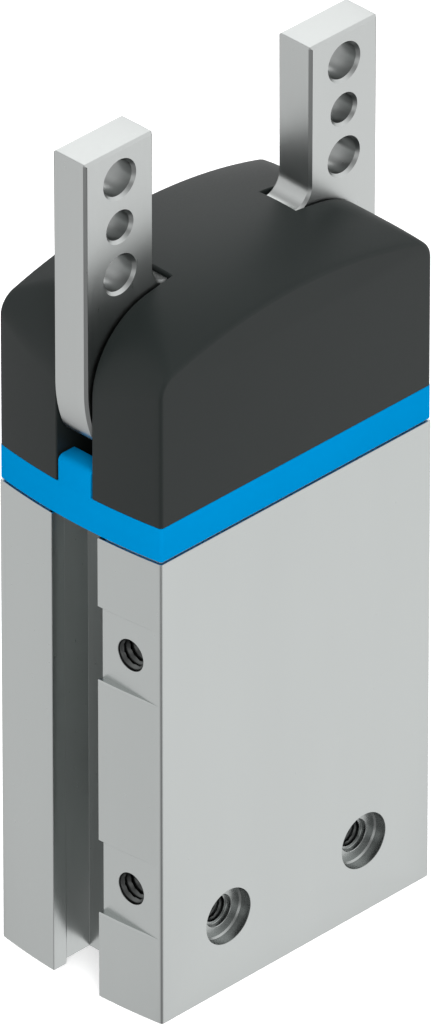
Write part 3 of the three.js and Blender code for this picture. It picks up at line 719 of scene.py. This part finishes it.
def lever_outline():
    """The right lever's outline in X and Z, anticlockwise from the jaw's outer top corner."""
    pivot = (PIVOT.x, PIVOT.z)
    ledge = JAW_INNER - LEDGE_FILLET
    turn, reach = math.radians(HEEL_TURN), HEEL - HEEL_ROUND
    heel = (PIVOT.x + reach * math.cos(turn), PIVOT.z + reach * math.sin(turn))
    corners = [(PIVOT.x + HEEL, JAW_HIGH.z, JAW_CORNER), (JAW_INNER, JAW_HIGH.z, JAW_CORNER)]
    curve = arc(ledge, LEDGE_Z + LEDGE_FILLET, LEDGE_FILLET, 0, -90, 14)
    curve.append((ledge, LEDGE_Z - LEDGE_DROP))
    curve += arc(*pivot, HUB, HUB_START, HUB_TO_LOBE, 30)
    curve += arc(*LOBE, LOBE_ROUND, HUB_TO_LOBE, 360 + LOBE_TO_HEEL, 16)
    curve += arc(*heel, HEEL_ROUND, LOBE_TO_HEEL, HEEL_TURN, 12)
    curve += arc(*pivot, HEEL, HEEL_TURN, 0, 24)[1:]
    return filleted(corners + [(x, z, 0) for x, z in curve])


def build_jaws():
    side_edge = rounded(-JAW_HALF, JAW_HALF, JAW_EDGE, JAW_EDGE, 1)
    hole_edge = rounded(-JAW_HALF, JAW_HALF, HOLE_EDGE, HOLE_EDGE, 1)
    holes = [circle(JAW_HOLE_X, z, radius, HOLE_STEPS) for z, radius in JAW_HOLES]
    holes.append(circle(PIVOT.x, PIVOT.z, PIVOT_HOLE, HOLE_STEPS))
    loops = [(lever_outline(), side_edge, 0)]
    loops += [(hole[::-1], hole_edge, 1) for hole in holes]
    for side, name in ((-1, "left"), (1, "right")):
        jaw = extruded(f"{name}_jaw_lever", JAW_STEEL, loops, upright(side))
        # The holes' walls take JAW_BORE, a darker steel that is painted shade.
        jaw.data.materials.append(JAW_BORE)
        settle(jaw, f"{name}_lever", "jaw_steel", f"{name}_jaw")


# ---------------------------------------------------------------- other CAD pieces keep their shape

NODE_MATERIALS = (
    (ALUMINIUM, ("end_cap",)),
    (BARE_ALUMINIUM, ("bearing_block", "piston")),
    (RUBBER, ("end_cap_o_ring", "rod_seal", "piston_seal_lower", "piston_seal_upper")),
    (DARK_STEEL, (
        "retaining_ring", "piston_screw", "block_screw_front_left", "block_screw_front_right",
        "block_screw_rear_left", "block_screw_rear_right",
    )),
    (BRONZE, ("rod_guide_bush", "left_pivot_bush", "right_pivot_bush")),
    (STEEL, (
        "piston_rod", "crosshead", "left_driver_pin", "right_driver_pin", "left_pivot_pin",
        "right_pivot_pin",
    )),
    (MAGNET, ("piston_magnet",)),
    (TAPE, ("piston_wear_ring",)),
)


def dress_nodes():
    for material, nodes in NODE_MATERIALS:
        for node in nodes:
            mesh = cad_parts[node].data
            mesh.materials.clear()
            mesh.materials.append(material)


# ---------------------------------------------------------------- camera, floor and light

CAMERA_AZIMUTH = math.radians(-45.13)
CAMERA_ELEVATION = math.radians(32.54)
CAMERA_DISTANCE = 2.6144  # in metres, like the camera's reach, the shift and the lamps' aim
CAMERA_LENS = 650
CAMERA_REACH = 20
AIM_SHIFT = Vector((-0.00094, -0.00084, -0.00135))
LAMP_AIM = Vector((0, 0, 0.07))
FLOOR_SIZE = 4000


def direction(azimuth, elevation):
    """Unit vector from the part toward an azimuth, 0 at its front, and an elevation."""
    flat = math.cos(elevation)
    return Vector((math.sin(azimuth) * flat, -math.cos(azimuth) * flat, math.sin(elevation)))


def build_camera():
    low, high = CAD_BOX
    aim = (Vector(low) + Vector(high)) / 2 + AIM_SHIFT
    camera = bpy.data.objects.new("camera", bpy.data.cameras.new("camera"))
    camera.data.lens = CAMERA_LENS
    camera.data.clip_end = CAMERA_REACH
    away = direction(CAMERA_AZIMUTH, CAMERA_ELEVATION)
    camera.location = aim + away * CAMERA_DISTANCE
    camera.rotation_euler = away.to_track_quat("Z", "Y").to_euler()
    bpy.context.scene.collection.objects.link(camera)
    bpy.context.scene.camera = camera


def build_floor():
    material, _, shader = material_nodes("pale_floor")
    shader.inputs["Base Color"].default_value = (0.9, 0.9, 0.9, 1)
    shader.inputs["Roughness"].default_value = 0.9
    shader.inputs["Specular IOR Level"].default_value = 0.1
    shader.inputs["Emission Color"].default_value = (1, 1, 1, 1)
    shader.inputs["Emission Strength"].default_value = 0.3
    bm = bmesh.new()
    bmesh.ops.create_grid(bm, x_segments=8, y_segments=8, size=FLOOR_SIZE)
    floor = finish_mesh(bm, "floor", material)
    floor.visible_glossy = False  # metals reflect the studio around them instead


def area_light(name, azimuth, elevation, distance, size, power):
    light = bpy.data.lights.new(name, "AREA")
    light.shape = "DISK"
    light.size = size
    light.energy = power
    lamp = bpy.data.objects.new(name, light)
    lamp.visible_glossy = False
    away = direction(math.radians(azimuth), math.radians(elevation))
    lamp.location = away * distance + LAMP_AIM
    lamp.rotation_euler = away.to_track_quat("Z", "Y").to_euler()
    bpy.context.scene.collection.objects.link(lamp)


def glow(tree, vector, axis, low, high, amount):
    """Adds light around one direction, fading out from cosine high to cosine low."""
    dot = tree.nodes.new("ShaderNodeVectorMath")
    dot.operation = "DOT_PRODUCT"
    dot.inputs[1].default_value = axis
    tree.links.new(vector, dot.inputs[0])
    fade = tree.nodes.new("ShaderNodeMapRange")
    fade.interpolation_type = "SMOOTHSTEP"
    fade.inputs["From Min"].default_value = low
    fade.inputs["From Max"].default_value = high
    fade.inputs["To Max"].default_value = amount
    tree.links.new(dot.outputs["Value"], fade.inputs["Value"])
    return fade.outputs["Result"]


SOFTBOXES = (  # azimuth, elevation, cosines where it starts and where it is full, strength
    (45, -5, 0.25, 0.85, 0.8),
    (-135, -5, 0.25, 0.85, 0.56),
    (135, 34, 0.86, 0.98, 1.2),
    (135, -22, 0.8, 0.95, 0.5),
    (-45, 0, 0.94, 0.985, 0.5),
    (0, 90, 0.3, 0.9, 0.28),
)
ROOM = 0.27  # strength of the light from everywhere else


def build_light():
    scene = bpy.context.scene
    scene.view_settings.view_transform = "Standard"
    world = bpy.data.worlds.new("studio")
    scene.world = world
    world.use_nodes = True
    tree = world.node_tree
    background = tree.nodes["Background"]
    background.inputs["Color"].default_value = (1, 1, 1, 1)
    coordinates = tree.nodes.new("ShaderNodeTexCoord")
    vector = coordinates.outputs["Generated"]
    total = None
    for azimuth, elevation, low, high, amount in SOFTBOXES:
        axis = direction(math.radians(azimuth), math.radians(elevation))
        light = glow(tree, vector, axis, low, high, amount)
        add = tree.nodes.new("ShaderNodeMath")
        add.operation = "ADD"
        tree.links.new(light, add.inputs[0])
        if total is None:
            add.inputs[1].default_value = ROOM
        else:
            tree.links.new(total, add.inputs[1])
        total = add.outputs["Value"]
    tree.links.new(total, background.inputs["Strength"])
    area_light("key", azimuth=-45, elevation=40, distance=1.2, size=0.9, power=9)
    area_light("top", azimuth=-20, elevation=80, distance=1.2, size=0.9, power=9)


build_camera()
build_floor()
build_light()
build_housing()
build_threads()
build_trim()
build_cover()
build_jaws()
dress_nodes()
